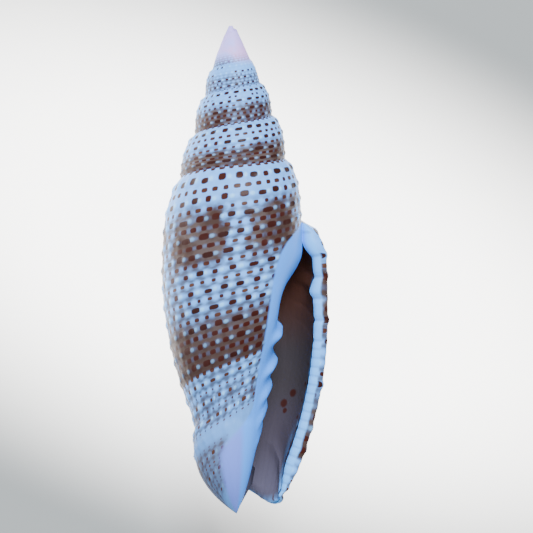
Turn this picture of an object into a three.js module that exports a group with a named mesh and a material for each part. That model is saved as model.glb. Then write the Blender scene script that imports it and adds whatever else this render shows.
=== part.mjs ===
// Mitre shell: a slender right-handed sea shell, grown in one piece and open at its aperture.
// It lies on its back with the aperture up, its spire pointing along +Y.
//
// Every point of the shell has three growth coordinates:
//   turn   whorls grown since the outer lip, so 0 is the lip and -1 is one whorl earlier
//   radius distance from the coiling axis
//   depth  distance down the coiling axis, from the tip of the spire

import * as THREE from 'three';

const { lerp, smoothstep, degToRad } = THREE.MathUtils;

// Coiling, in millimetres and turns
const SHELL_LENGTH = 60;
const SPIRE_TURNS = 6.5;
const APEX_DEPTH = 0.03;
const APEX_RADIUS = 0.03;
const HEIGHT_GROWTH = 1.39;
const SUTURE_ORIGIN = -3.3;
const SUTURE_REACH = 27.45;
const RADIUS_GROWTH = 1.25;
const RADIUS_REACH = 12.5;
const RADIUS_LOSS = 2.0;

// The last suture runs flat for a while and then drops to the lip
const SUTURE_LAG = 1.2;
const SUTURE_LAG_TURN = -0.53;
const SUTURE_LAG_SPREAD = 0.36;
const SUTURE_LAG_FADE = 0.1;
const SUTURE_LAG_RISE = 0.1;

// The axis wanders a little to the lip side as the shell grows
const AXIS_DRIFT = 0.6;
const AXIS_DRIFT_DEPTH = 13;

// Outline of one whorl, as shares of its height
const WHORL_HEIGHT = 34.74;
const SHOULDER_SHARE = 0.08;
const LIP_SHOULDER_SHARE = 0.045;
const LIP_SHOULDER_TURNS = 0.3;
const BASE_START = 0.34;
const BASE_TAPER = 1.125;
const WAIST_START = 0.9;
const WAIST_SOFTNESS = 0.18;

// The oldest whorls make a plain cone
const SPIRE_SHARE = 0.308;
const EARLY_TURN = -5;
const EARLY_END_TURN = -3;

// The fasciole, a low swelling round the siphonal end, starts at a nearly level ridge
const FASCIOLE_DEPTH = 48.4;
const FASCIOLE_TAPER = 3;
const FASCIOLE_SWELLING = 0.3;

// Outer lip; its top is closed against the whorl before, and its toe is rounded
const LIP_FLARE = 0.75;
const LIP_FLARE_TURNS = 0.14;
const LIP_WIDTH = 1.75;
const LIP_BULGE = 0.6;
const LIP_OPEN_SHARE = 0.13;
const LIP_KNOB_SHARE = 0.245;
const LIP_KNOB_WIDTH = 0.03;
const LIP_KNOB_HEIGHT = 0.5;
const LIP_TOE_SHARE = 0.86;
const LIP_TOE_PULL = 0.5;
const LIP_TOE_LIFT = 1.2;

// Lobes on the upper part of the lip, with grooves between them
const LOBES = 13;
const LOBE_START_SHARE = 0.08;
const LOBE_FULL_SHARE = 0.16;
const LOBE_FADE_SHARE = 0.34;
const LOBE_END_SHARE = 0.5;
const LOBE_GROOVE = 0.3;
const LOBE_GROOVE_WIDTH = 0.13;
const LOBE_EDGE = 0.6;

// Siphonal notch, the cut in the lower edge beside the tip
const NOTCH_TURNS = 0.25;
const NOTCH_HEIGHT = 2.1;
const NOTCH_WALL = 0.55;
const NOTCH_REACH = 0.12;
const NOTCH_START = 0.3;
const NOTCH_TOP = 0.6;
const BACK_TOE = 0.27;
const BACK_TOE_WIDTH = 0.12;
const BACK_TOE_DROP = 0.55;

// Columella: the pillar on the inner side of the aperture and its slanting folds
const PILLAR_RADIUS = 5.1;
const PILLAR_TAPER = 2.5;
const PILLAR_END = 1.032;
const PARIETAL_STEP = 3.0;
const PARIETAL_TOP = 0.1;
const PARIETAL_FOOT = 0.3;
const CALLUS_TURNS = 0.16;
const CALLUS_FOOT_TURNS = 0.12;
const CALLUS_FOOT_DEPTH = 42;
const CALLUS_FOOT_REACH = 8;
const CALLUS_TOP_DEPTH = 24;
const CALLUS_FULL_DEPTH = 27.5;
const FOLD_END_TURNS = 0.14;
const FOLD_WIDTH = 0.022;
const FOLDS = [
  { share: 0.373, height: 1.0 },
  { share: 0.488, height: 0.75 },
  { share: 0.577, height: 0.5 },
  { share: 0.655, height: 0.35 },
  { share: 0.73, height: 0.2 },
];

// Smooth strip beside the aperture, where the cords stop
const SMOOTH_TURN = -0.84;
const SMOOTH_EDGE = 0.01;
const SMOOTH_TOP_WIDTH = 0.16;
const SMOOTH_TOP_FADE = 2.2;
const SMOOTH_FOOT_WIDTH = 0.16;
const SMOOTH_FOOT_DEPTH = 46;
const SMOOTH_FOOT_REACH = 7;

// Hollow of the last whorls; its foot climbs from the siphonal end as it winds back
const HOLLOW_TURNS = 2.1;
const HOLLOW_STATIONS = 16;
const HOLLOW_CROWDING = 1.4;
const FINE_STATIONS = 2;
const WALL_THICKNESS = 1.0;
const WALL_THINNING_TURNS = 0.12;
const HOLLOW_TOP = 0.085;
const HOLLOW_FOOT = 0.94;
const HOLLOW_DEEP_FOOT = 0.5;
const HOLLOW_FOOT_TURN = -0.35;
const HOLLOW_ROUNDNESS = 24;
const EDGE_MEMORY = 0.4;
const EDGE_BLEND_TURNS = 0.12;
const LIP_PROGRESS = 0.9;

// Spiral cords and their beads
const CORD_HEIGHT = 0.07;
const GROOVE_DEPTH = 0.05;
const BEAD_HEIGHT = 0.1;
const SUTURE_GROOVE = 0.12;
const SHOULDER_BEAD = 0.2;

// Mesh rows and columns: two rows to a cord and two columns to a bead
const COLUMNS_PER_TURN = 48;
const SPIRE_ROWS = 8;
const WHORL_ROWS = 26;
const TIP_ROWS = 10;
const TIP_ROW_CROWDING = 1.25;
const RIM_RINGS = 3;
const CLOSED_LIP_ROWS = 2;
const CLOSED_WALL_ROWS = 3;
const POLE_ROW = WHORL_ROWS + TIP_ROWS;
const CORNER_ROW = SPIRE_ROWS + CLOSED_WALL_ROWS;
const SPIRE_COLUMNS = SPIRE_TURNS * COLUMNS_PER_TURN;
const LAST_COLUMN = SPIRE_COLUMNS + COLUMNS_PER_TURN;

// Resting pose: rolled about the long axis and tipped so that the back lies on the ground
const REST_ROLL = -19.1;
const REST_PITCH = -2.1;

// Growth laws

function bell(value, width) {
  return Math.exp(-((value / width) ** 2));
}

function sutureDepth(turn) {
  return Math.max(APEX_DEPTH, SUTURE_ORIGIN + SUTURE_REACH * HEIGHT_GROWTH ** turn);
}

function sutureLag(turn) {
  return SUTURE_LAG * bell(turn - SUTURE_LAG_TURN, SUTURE_LAG_SPREAD);
}

function whorlRadius(turn) {
  return Math.max(APEX_RADIUS, RADIUS_REACH * RADIUS_GROWTH ** turn - RADIUS_LOSS);
}

function whorlHeight(turn) {
  return WHORL_HEIGHT * HEIGHT_GROWTH ** turn;
}

function lipFlare(turn) {
  return LIP_FLARE * smoothstep(turn, -LIP_FLARE_TURNS, 0);
}

// Outline of the outer surface

// The whorl narrows towards its base, ever faster down to the waist and then less and less
function baseTaper(share) {
  const taper = 1 - BASE_TAPER * Math.max(0, Math.min(share, WAIST_START) - BASE_START) ** 2;
  const slope = 2 * BASE_TAPER * (WAIST_START - BASE_START);
  const below = Math.max(0, share - WAIST_START);
  return taper - slope * WAIST_SOFTNESS * (1 - Math.exp(-below / WAIST_SOFTNESS));
}

function shoulderAmount(turn, share) {
  const nearLip = smoothstep(turn, -LIP_SHOULDER_TURNS, 0);
  const rounded = 1 - Math.exp(-share / lerp(SHOULDER_SHARE, LIP_SHOULDER_SHARE, nearLip));
  const straight = Math.min(1, share / SPIRE_SHARE);
  return lerp(straight, rounded, smoothstep(turn, EARLY_TURN, EARLY_END_TURN));
}

function whorlPoint(turn, share) {
  const inner = whorlRadius(turn - 1);
  const outer = whorlRadius(turn) + lipFlare(turn);
  const shoulder = shoulderAmount(turn, share);
  const ownLag = sutureLag(turn) * Math.exp(-share / SUTURE_LAG_FADE);
  const nextLag = sutureLag(turn + 1) * bell(share - SPIRE_SHARE, SUTURE_LAG_RISE);
  return {
    turn,
    radius: lerp(inner, outer, shoulder) * baseTaper(share),
    depth: sutureDepth(turn) - ownLag - nextLag + whorlHeight(turn) * share,
  };
}

// Depth at which the whorl ends and the fasciole starts
function footDepth(turn) {
  return Math.max(FASCIOLE_DEPTH, whorlPoint(turn, 1).depth);
}

function tipPoint(turn, share) {
  const start = footDepth(turn);
  const depth = lerp(whorlPoint(turn, 1).depth, SHELL_LENGTH, share);
  const whorl = whorlPoint(turn, shareAtDepth(turn, Math.min(depth, start)));
  const below = Math.max(0, depth - start) / (SHELL_LENGTH - start);
  const swelling = FASCIOLE_SWELLING * Math.sin(Math.PI * Math.sqrt(below));
  return {
    turn,
    radius: whorl.radius * (1 - below ** FASCIOLE_TAPER) + swelling,
    depth,
  };
}

function tipShare(row) {
  return ((row - WHORL_ROWS) / TIP_ROWS) ** TIP_ROW_CROWDING;
}

function outlinePoint(turn, row) {
  if (row <= WHORL_ROWS) {
    return whorlPoint(turn, row / WHORL_ROWS);
  }
  return tipPoint(turn, tipShare(row));
}

// Inner wall of the aperture

function foldHeight(share) {
  let height = 0;
  for (const fold of FOLDS) {
    height += fold.height * bell(share - fold.share, FOLD_WIDTH);
  }
  return height;
}

function pillarRadius(share) {
  const pillar = PILLAR_RADIUS * (1 - Math.min(1, Math.max(0, share) / PILLAR_END) ** PILLAR_TAPER);
  return pillar + PARIETAL_STEP * (1 - smoothstep(share, PARIETAL_TOP, PARIETAL_FOOT));
}

function columellaRadius(turn, share) {
  return (pillarRadius(share) + foldHeight(share)) * whorlRadius(turn) / whorlRadius(0);
}

function shareAtDepth(turn, depth) {
  return (depth - sutureDepth(turn)) / whorlHeight(turn);
}

// The first part of the last turn blends from the whorl into the columella beside the aperture
function callusAmount(point) {
  const foot = smoothstep(point.depth, CALLUS_FOOT_DEPTH, CALLUS_FOOT_DEPTH + CALLUS_FOOT_REACH);
  const nearness = 1 - smoothstep(point.turn, -1, -1 + CALLUS_TURNS + CALLUS_FOOT_TURNS * foot);
  return nearness * smoothstep(point.depth, CALLUS_TOP_DEPTH, CALLUS_FULL_DEPTH);
}

// The folds run out from the columella a little way onto the callus
function addColumella(point, callus) {
  const folds = foldHeight(shareAtDepth(point.turn + 1, point.depth));
  const pillar = pillarRadius(shareAtDepth(0, point.depth));
  const foldAmount = 1 - smoothstep(point.turn, -1 + FOLD_END_TURNS / 2, -1 + FOLD_END_TURNS);
  return lerp(point.radius, pillar, callus) + folds * foldAmount;
}

// 1 on the smooth strip beside the aperture, 0 where the cords run
function smoothAmount(point) {
  const top = SMOOTH_TOP_WIDTH * Math.exp(-Math.max(0, point.depth - CALLUS_TOP_DEPTH) / SMOOTH_TOP_FADE);
  const foot = smoothstep(point.depth, SMOOTH_FOOT_DEPTH, SMOOTH_FOOT_DEPTH + SMOOTH_FOOT_REACH);
  const boundary = SMOOTH_TURN - top + SMOOTH_FOOT_WIDTH * foot;
  return 1 - smoothstep(point.turn - boundary, -SMOOTH_EDGE, SMOOTH_EDGE);
}

// Relief

function relief(column, row, point) {
  const age = smoothstep(point.turn, EARLY_TURN, EARLY_END_TURN);
  const scale = age * whorlRadius(point.turn) / whorlRadius(-0.75);
  if (row === 0) {
    return -SUTURE_GROOVE * scale;
  }
  if (row > WHORL_ROWS) {
    return 0;
  }
  if (row % 2 === 0) {
    return -GROOVE_DEPTH * scale;
  }
  const bead = row === 1 ? SHOULDER_BEAD : BEAD_HEIGHT;
  const onBead = (column + (row - 1) / 2) % 2 === 0;
  return (CORD_HEIGHT + (onBead ? bead : 0)) * scale;
}

function outwardNormal(turn, row) {
  const before = outlinePoint(turn, Math.max(0, row - 0.5));
  const after = outlinePoint(turn, Math.min(POLE_ROW, row + 0.5));
  const radial = after.depth - before.depth;
  const axial = before.radius - after.radius;
  const length = Math.hypot(radial, axial);
  return { radial: radial / length, axial: axial / length };
}

function raise(point, normal, height) {
  return {
    turn: point.turn,
    radius: Math.max(0, point.radius + normal.radial * height),
    depth: point.depth + normal.axial * height,
  };
}

// Edge of the aperture

function edgeTurn(row) {
  if (row <= WHORL_ROWS) {
    return 0;
  }
  return -NOTCH_TURNS * smoothstep(tipShare(row), 0, 0.7);
}

// The edge first drops behind the toe of the lip, then climbs into the cut beside the tip
function notchRise(share) {
  const climb = smoothstep(share, NOTCH_START, NOTCH_TOP) * (1 - smoothstep(share, NOTCH_TOP, 1));
  return NOTCH_HEIGHT * climb - BACK_TOE_DROP * bell(share - BACK_TOE, BACK_TOE_WIDTH);
}

// Shift from the plain outline to the edge, at the toe of the lip
function toeShift(row) {
  const toe = Math.max(0, (row / WHORL_ROWS - LIP_TOE_SHARE) / (1 - LIP_TOE_SHARE)) ** 2;
  return { radius: -LIP_TOE_PULL * toe, depth: -LIP_TOE_LIFT * toe };
}

// The same shift in the notch
function notchShift(row) {
  const share = tipShare(row);
  const edge = outlinePoint(edgeTurn(row), row);
  const toe = whorlPoint(0, 1);
  const radius = lerp(toe.radius - LIP_TOE_PULL, edge.radius, smoothstep(share, 0, 0.4));
  const depth = lerp(toe.depth - LIP_TOE_LIFT, SHELL_LENGTH, share) - notchRise(share);
  return { radius: radius - edge.radius, depth: depth - edge.depth };
}

function pullToEdge(point, row) {
  const shift = row <= WHORL_ROWS ? toeShift(row) : notchShift(row);
  const pull = 1 - smoothstep(edgeTurn(row) - point.turn, 0, NOTCH_REACH);
  return {
    turn: point.turn,
    radius: point.radius + shift.radius * pull,
    depth: point.depth + shift.depth * pull,
  };
}

// Outer surface at one mesh vertex

function surfacePoint(column, row) {
  const growth = (column - SPIRE_COLUMNS) / COLUMNS_PER_TURN;
  const turn = growth <= 0 ? growth - 1 : -1 + growth * (1 + edgeTurn(row));
  const flat = outlinePoint(turn, row);
  const besideAperture = column >= SPIRE_COLUMNS && row > SPIRE_ROWS;
  const callus = besideAperture ? callusAmount(flat) : 0;
  const smooth = besideAperture ? smoothAmount(flat) : 0;
  const height = relief(column, row, flat) * (1 - smooth);
  const point = pullToEdge(raise(flat, outwardNormal(turn, row), height), row);
  if (besideAperture) {
    point.radius = addColumella(point, callus);
  }
  return point;
}

// Depth of the grooves between the lobes of the lip
function lobeGroove(share) {
  const place = share * LOBES - 0.5;
  const start = smoothstep(share, LOBE_START_SHARE, LOBE_FULL_SHARE);
  const end = 1 - smoothstep(share, LOBE_FADE_SHARE, LOBE_END_SHARE);
  return LOBE_GROOVE * start * end * bell(place - Math.round(place), LOBE_GROOVE_WIDTH);
}

function lipWidth(share) {
  const width = lerp(LIP_WIDTH, NOTCH_WALL, smoothstep(share, LIP_TOE_SHARE, 1));
  const knob = LIP_KNOB_HEIGHT * bell(share - LIP_KNOB_SHARE, LIP_KNOB_WIDTH);
  return width + knob - LOBE_EDGE * lobeGroove(share);
}

function notchInnerPoint(row) {
  const point = surfacePoint(LAST_COLUMN, row);
  point.radius = Math.max(0, point.radius - NOTCH_WALL * (1 - tipShare(row)));
  return point;
}

// Inner edge of the lip, one lip width inside; its top runs onto the whorl before
function lipInnerPoint(row) {
  if (row > WHORL_ROWS) {
    return notchInnerPoint(row);
  }
  const share = row / WHORL_ROWS;
  const outer = pullToEdge(outlinePoint(0, row), row);
  const normal = outwardNormal(0, row);
  const level = smoothstep(share, LIP_TOE_SHARE, 1);
  const closed = 1 - smoothstep(share, CLOSED_LIP_ROWS / WHORL_ROWS, LIP_OPEN_SHARE);
  const width = lipWidth(share);
  const inner = outer.radius - lerp(normal.radial, 1, level) * width;
  return {
    turn: 0,
    radius: lerp(inner, pillarRadius(share), closed),
    depth: outer.depth - normal.axial * (1 - level) * width * (1 - closed),
  };
}

// Hollow

function hollowFoot(turn) {
  return lerp(HOLLOW_DEEP_FOOT, HOLLOW_FOOT, smoothstep(turn, -1, HOLLOW_FOOT_TURN));
}

function wallThickness(turn) {
  const nearLip = smoothstep(turn, -WALL_THINNING_TURNS, 0);
  return lerp(WALL_THICKNESS, LIP_WIDTH, nearLip) * whorlRadius(turn) / whorlRadius(0);
}

// side is 1 on the outer wall and -1 on the columella; progress runs from top to foot
function hollowPoint(turn, progress, side) {
  const share = lerp(HOLLOW_TOP, hollowFoot(turn), progress);
  const body = whorlPoint(turn, share);
  const outer = body.radius - wallThickness(turn);
  const inner = Math.min(outer, columellaRadius(turn, share));
  const round = Math.sqrt(1 - Math.abs(2 * progress - 1) ** HOLLOW_ROUNDNESS);
  const middle = (outer + inner) / 2;
  return {
    turn,
    radius: middle + side * round * (outer - inner) / 2,
    depth: body.depth,
  };
}

function lipProgress(row) {
  if (row > WHORL_ROWS) {
    return lerp(LIP_PROGRESS, 1, tipShare(row));
  }
  return (row - CLOSED_LIP_ROWS) / (WHORL_ROWS - CLOSED_LIP_ROWS) * LIP_PROGRESS;
}

// The loop of the hollow's edge: down the lip, past the tip and up the columella
function edgeLoop() {
  const loop = [];
  for (let row = CLOSED_LIP_ROWS; row < POLE_ROW; row++) {
    loop.push({ ...lipInnerPoint(row), side: 1, progress: lipProgress(row) });
  }
  const top = loop[0].depth;
  for (let row = POLE_ROW; row > CORNER_ROW; row--) {
    const point = surfacePoint(SPIRE_COLUMNS, row);
    const progress = Math.max(0, (point.depth - top) / (SHELL_LENGTH - top));
    loop.push({ ...point, turn: 0, side: -1, progress });
  }
  return loop;
}

// Largest radius of the hollow that leaves a wall at this depth
function hollowLimit(turn, depth) {
  const share = Math.max(SPIRE_SHARE, shareAtDepth(turn, depth));
  return whorlPoint(turn, share).radius - NOTCH_WALL;
}

function hollowStation(edge, back) {
  return edge.map((start) => {
    const turn = start.turn * Math.exp(-back / EDGE_MEMORY) - back;
    const target = hollowPoint(turn, start.progress, start.side);
    const origin = hollowPoint(start.turn, start.progress, start.side);
    const memory = 1 - smoothstep(back, 0, EDGE_BLEND_TURNS);
    const radius = target.radius + (start.radius - origin.radius) * memory;
    const depth = target.depth + (start.depth - origin.depth) * memory;
    return { turn, radius: Math.min(radius, hollowLimit(turn, depth)), depth };
  });
}

// Growth coordinates to millimetres: spire along +Y, lip along +X, aperture along +Z

function toPosition({ turn, radius, depth }) {
  const angle = 2 * Math.PI * turn;
  const drift = AXIS_DRIFT * smoothstep(depth, 0, AXIS_DRIFT_DEPTH);
  return new THREE.Vector3(drift + radius * Math.cos(angle), -depth, radius * Math.sin(angle));
}

// Mesh

class MeshBuilder {
  constructor() {
    this.positions = [];
    this.triangles = [];
  }

  addVertex(position) {
    this.positions.push(position.x, position.y, position.z);
    return this.positions.length / 3 - 1;
  }

  addTriangle(a, b, c) {
    if (a !== b && b !== c && c !== a) {
      this.triangles.push(a, c, b);
    }
  }

  addQuad(a, b, c, d) {
    this.addTriangle(a, b, c);
    this.addTriangle(a, c, d);
  }

  // Joins two lists of vertices of the same length, from left to right
  addStrip(left, right) {
    for (let i = 0; i + 1 < left.length; i++) {
      this.addQuad(left[i], left[i + 1], right[i + 1], right[i]);
    }
  }

  // Joins two lists of different lengths with triangles, from left to right
  addSeam(left, right) {
    let i = 0;
    let j = 0;
    while (i + 1 < left.length || j + 1 < right.length) {
      if ((i + 1) * (right.length - 1) <= (j + 1) * (left.length - 1)) {
        this.addTriangle(left[i], left[i + 1], right[j]);
        i++;
      } else {
        this.addTriangle(left[i], right[j + 1], right[j]);
        j++;
      }
    }
  }

  toGeometry() {
    const geometry = new THREE.BufferGeometry();
    geometry.setAttribute('position', new THREE.Float32BufferAttribute(this.positions, 3));
    geometry.setIndex(this.triangles);
    geometry.computeVertexNormals();
    return geometry;
  }
}

// Columns of vertices, where the foot of each spire whorl is the suture of the next
function addOuterColumns(builder) {
  const columns = [];
  const pole = builder.addVertex(toPosition({ turn: 0, radius: 0, depth: SHELL_LENGTH }));
  for (let column = 0; column <= LAST_COLUMN; column++) {
    const rows = column < SPIRE_COLUMNS ? SPIRE_ROWS : POLE_ROW;
    const vertices = [];
    for (let row = 0; row < rows; row++) {
      vertices.push(builder.addVertex(toPosition(surfacePoint(column, row))));
    }
    columns.push(vertices);
  }
  for (let column = 0; column < SPIRE_COLUMNS; column++) {
    columns[column].push(columns[column + COLUMNS_PER_TURN][0]);
  }
  columns[SPIRE_COLUMNS][SPIRE_ROWS] = columns[LAST_COLUMN][0];
  for (let column = SPIRE_COLUMNS; column <= LAST_COLUMN; column++) {
    columns[column].push(pole);
  }
  return columns;
}

function addSpireTip(builder, columns) {
  const tip = builder.addVertex(toPosition({ turn: 0, radius: 0, depth: 0 }));
  for (let column = 0; column < COLUMNS_PER_TURN; column++) {
    builder.addTriangle(tip, columns[column][0], columns[column + 1][0]);
  }
  for (let row = 0; row < SPIRE_ROWS; row++) {
    builder.addTriangle(tip, columns[0][row + 1], columns[0][row]);
  }
}

function readVertex(builder, index) {
  return new THREE.Vector3().fromArray(builder.positions, index * 3);
}

// The lip's edge swells to the front, and round the notch it swells downwards
function rimForward(row) {
  const angle = 2 * Math.PI * edgeTurn(row);
  const down = smoothstep(row, WHORL_ROWS - 3, WHORL_ROWS + 2);
  const forward = new THREE.Vector3(-Math.sin(angle), 0, Math.cos(angle));
  return forward.lerp(new THREE.Vector3(0, -1, 0), down).normalize();
}

function rimPosition(outer, row, angle) {
  const inner = toPosition(lipInnerPoint(row));
  const width = outer.distanceTo(inner);
  const bulge = (LIP_BULGE * width / LIP_WIDTH - lobeGroove(row / WHORL_ROWS)) * Math.sin(angle);
  const position = outer.clone().lerp(inner, (1 - Math.cos(angle)) / 2);
  return position.addScaledVector(rimForward(row), bulge);
}

function addRimRing(builder, outerEdge, angle) {
  return outerEdge.map((outer, row) => {
    if (row === 0 || row === POLE_ROW) {
      return outer;
    }
    return builder.addVertex(rimPosition(readVertex(builder, outer), row, angle));
  });
}

// The rounded edge of the lip; its closed top is joined to the whorl before
function addLipRim(builder, columns, innerEdge) {
  let previous = columns[LAST_COLUMN];
  for (let ring = 1; ring <= RIM_RINGS; ring++) {
    const next = addRimRing(builder, columns[LAST_COLUMN], Math.PI * ring / (RIM_RINGS + 1));
    builder.addStrip(previous, next);
    previous = next;
  }
  builder.addStrip(previous.slice(CLOSED_LIP_ROWS), innerEdge);
  const wall = columns[SPIRE_COLUMNS].slice(SPIRE_ROWS, CORNER_ROW + 1);
  builder.addSeam(previous.slice(0, CLOSED_LIP_ROWS + 1), wall);
}

function addHollow(builder, columns) {
  const edge = edgeLoop();
  const columella = columns[SPIRE_COLUMNS];
  const lipCount = POLE_ROW - CLOSED_LIP_ROWS;
  const first = edge.map((point, i) => {
    if (i === 0) {
      return columella[CORNER_ROW];
    }
    return i < lipCount ? builder.addVertex(toPosition(point)) : columella[POLE_ROW - (i - lipCount)];
  });
  let previous = first;
  for (let station = 1; station <= HOLLOW_STATIONS; station++) {
    const back = HOLLOW_TURNS * (station / HOLLOW_STATIONS) ** HOLLOW_CROWDING;
    const isFine = station <= FINE_STATIONS;
    const points = hollowStation(edge, back).filter((point, i) => isFine || i % 2 === 0);
    const ring = points.map((point) => builder.addVertex(toPosition(point)));
    builder.addSeam([...previous, previous[0]], [...ring, ring[0]]);
    previous = ring;
  }
  closeHollow(builder, previous);
  return first.slice(0, lipCount + 1);
}

function closeHollow(builder, ring) {
  const centre = new THREE.Vector3();
  for (const index of ring) {
    centre.add(readVertex(builder, index));
  }
  const middle = builder.addVertex(centre.divideScalar(ring.length));
  ring.forEach((index, i) => builder.addTriangle(index, ring[(i + 1) % ring.length], middle));
}

function buildShell() {
  const builder = new MeshBuilder();
  const columns = addOuterColumns(builder);
  for (let column = 0; column < LAST_COLUMN; column++) {
    const rows = column < SPIRE_COLUMNS ? SPIRE_ROWS : POLE_ROW;
    builder.addStrip(columns[column].slice(0, rows + 1), columns[column + 1].slice(0, rows + 1));
  }
  addSpireTip(builder, columns);
  const innerEdge = addHollow(builder, columns);
  addLipRim(builder, columns, innerEdge);
  return builder.toGeometry();
}

// The shell laid down, with the middle of its underside at the origin
function layDown(geometry) {
  geometry.rotateY(degToRad(REST_ROLL));
  geometry.rotateX(degToRad(REST_PITCH));
  geometry.computeBoundingBox();
  const { min, max } = geometry.boundingBox;
  geometry.translate(-(min.x + max.x) / 2, -(min.y + max.y) / 2, -min.z);
  return geometry;
}

const shell = new THREE.Mesh(
  layDown(buildShell()),
  new THREE.MeshStandardMaterial({ color: 0xb9b4bd, roughness: 0.25, metalness: 0 }),
);
shell.name = 'shell';

const mitreShell = new THREE.Group();
mitreShell.add(shell);

export default mitreShell;
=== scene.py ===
import math

import bpy
import numpy as np
from mathutils import Matrix, Vector


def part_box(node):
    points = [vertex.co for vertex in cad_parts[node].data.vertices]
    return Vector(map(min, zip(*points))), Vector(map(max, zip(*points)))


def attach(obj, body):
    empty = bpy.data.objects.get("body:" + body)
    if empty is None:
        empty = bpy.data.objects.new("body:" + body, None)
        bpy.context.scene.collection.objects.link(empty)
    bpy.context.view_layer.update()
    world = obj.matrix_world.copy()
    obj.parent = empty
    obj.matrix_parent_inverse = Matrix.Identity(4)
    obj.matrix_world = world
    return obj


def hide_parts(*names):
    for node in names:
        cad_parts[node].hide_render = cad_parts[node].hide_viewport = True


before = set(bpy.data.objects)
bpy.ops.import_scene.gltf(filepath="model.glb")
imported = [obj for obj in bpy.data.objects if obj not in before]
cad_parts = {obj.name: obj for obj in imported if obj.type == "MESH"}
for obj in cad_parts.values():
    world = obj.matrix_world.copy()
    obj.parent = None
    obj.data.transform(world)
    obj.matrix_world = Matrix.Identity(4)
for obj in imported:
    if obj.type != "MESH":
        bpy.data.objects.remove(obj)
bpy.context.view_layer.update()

# The shell is drawn in growth coordinates, in millimetres and turns:
#   turn    whorls grown since the outer lip, so 0 is the lip and -1 is one whorl earlier
#   share   place between a whorl's suture (0) and its base (1)
#   radius  distance from the coiling axis
#   depth   distance down the coiling axis, from the tip of the spire
MM = 0.001

# Coiling
SHELL_LENGTH = 60.0
SPIRE_TURNS = 6.5
APEX_DEPTH = 0.03
APEX_RADIUS = 0.03
HEIGHT_GROWTH = 1.39
SUTURE_ORIGIN = -3.3
SUTURE_REACH = 27.45
RADIUS_GROWTH = 1.25
RADIUS_REACH = 12.5
RADIUS_LOSS = 2.0
SUTURE_LAG = 1.2
SUTURE_LAG_TURN = -0.53
SUTURE_LAG_SPREAD = 0.36
SUTURE_LAG_FADE = 0.1
SUTURE_LAG_RISE = 0.1
AXIS_DRIFT = 0.6
AXIS_DRIFT_DEPTH = 13.0

# Outline of one whorl, as shares of its height
WHORL_HEIGHT = 34.74
SHOULDER_SHARE = 0.08
LIP_SHOULDER_SHARE = 0.045
LIP_SHOULDER_TURNS = 0.3
SPIRE_SHARE = 0.308
EARLY_TURN = -5.0
EARLY_END_TURN = -3.0
BASE_START = 0.34
BASE_TAPER = 1.125
WAIST_START = 0.9
WAIST_SOFTNESS = 0.18

# Swelling round the siphonal end
FASCIOLE_DEPTH = 48.4
FASCIOLE_TAPER = 3.0
FASCIOLE_SWELLING = 0.3

# Outer lip
LIP_FLARE = 0.75
LIP_FLARE_TURNS = 0.14
LIP_WIDTH = 1.75
LIP_BULGE = 0.6
LIP_OPEN_SHARE = 0.13
LIP_KNOB_SHARE = 0.245
LIP_KNOB_WIDTH = 0.03
LIP_KNOB_HEIGHT = 0.5
LIP_TOE_SHARE = 0.86
LIP_TOE_PULL = 0.5
LIP_TOE_LIFT = 1.2
WIDE_LOBES = 13
WIDE_LOBE_SHIFT = 0.5
WIDE_GROOVE = 0.3
FINE_LOBES = 31
FINE_GROOVE = 0.05
LOBE_EDGE = 0.6
WIDE_GROOVE_WIDTH = 0.13
FINE_GROOVE_WIDTH = 0.2
LOBES_START = (0.08, 0.16)
LOBES_CHANGE = (0.34, 0.5)

# Siphonal notch
NOTCH_TURNS = 0.25
NOTCH_HEIGHT = 2.1
NOTCH_WALL = 0.55
NOTCH_REACH = 0.12
NOTCH_START = 0.3
NOTCH_TOP = 0.6
BACK_TOE = 0.27
BACK_TOE_WIDTH = 0.12
BACK_TOE_DROP = 0.55
NOTCH_TURN_END = 0.7
NOTCH_BLEND = 0.4

# Columella and its folds, each a share of the whorl's height and a height in millimetres
PILLAR_RADIUS = 5.1
PILLAR_TAPER = 2.5
PILLAR_END = 1.032
PARIETAL_STEP = 3.0
PARIETAL_TOP = 0.1
PARIETAL_FOOT = 0.3
CALLUS_TURNS = 0.16
CALLUS_FOOT_TURNS = 0.12
CALLUS_FOOT_DEPTH = 42.0
CALLUS_FOOT_REACH = 8.0
FOLD_END_TURNS = 0.14
CALLUS_TOP_DEPTH = 24.0
CALLUS_FULL_DEPTH = 27.5
FOLD_WIDTH = 0.022
SMOOTH_TURN = -0.84
SMOOTH_TOP_WIDTH = 0.16
SMOOTH_TOP_FADE = 2.2
SMOOTH_FOOT_WIDTH = 0.16
SMOOTH_EDGE = 0.008
SMOOTH_FOOT_EDGE = 0.035
SMOOTH_FOOT_DEPTH = 46.0
SMOOTH_FOOT_REACH = 7.0
FOLDS = ((0.373, 1.0), (0.488, 0.75), (0.577, 0.5), (0.655, 0.35), (0.73, 0.2))

# Hollow of the last whorls
HOLLOW_TURNS = 2.1
HOLLOW_STATIONS = 24
HOLLOW_CROWDING = 1.6
INSIDE_START_TURNS = 0.03
INSIDE_TOE_TURNS = 0.09
WALL_THICKNESS = 1.0
WALL_THINNING_TURNS = 0.12
HOLLOW_TOP = 0.085
HOLLOW_FOOT = 0.94
HOLLOW_DEEP_FOOT = 0.5
HOLLOW_FOOT_TURN = -0.35
HOLLOW_ROUNDNESS = 24.0
EDGE_MEMORY = 0.4
EDGE_BLEND_TURNS = 0.12
LIP_PROGRESS = 0.9
INSIDE_TOE = (0.55, 0.8)
INSIDE_TOE_FADE = 0.03

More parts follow.
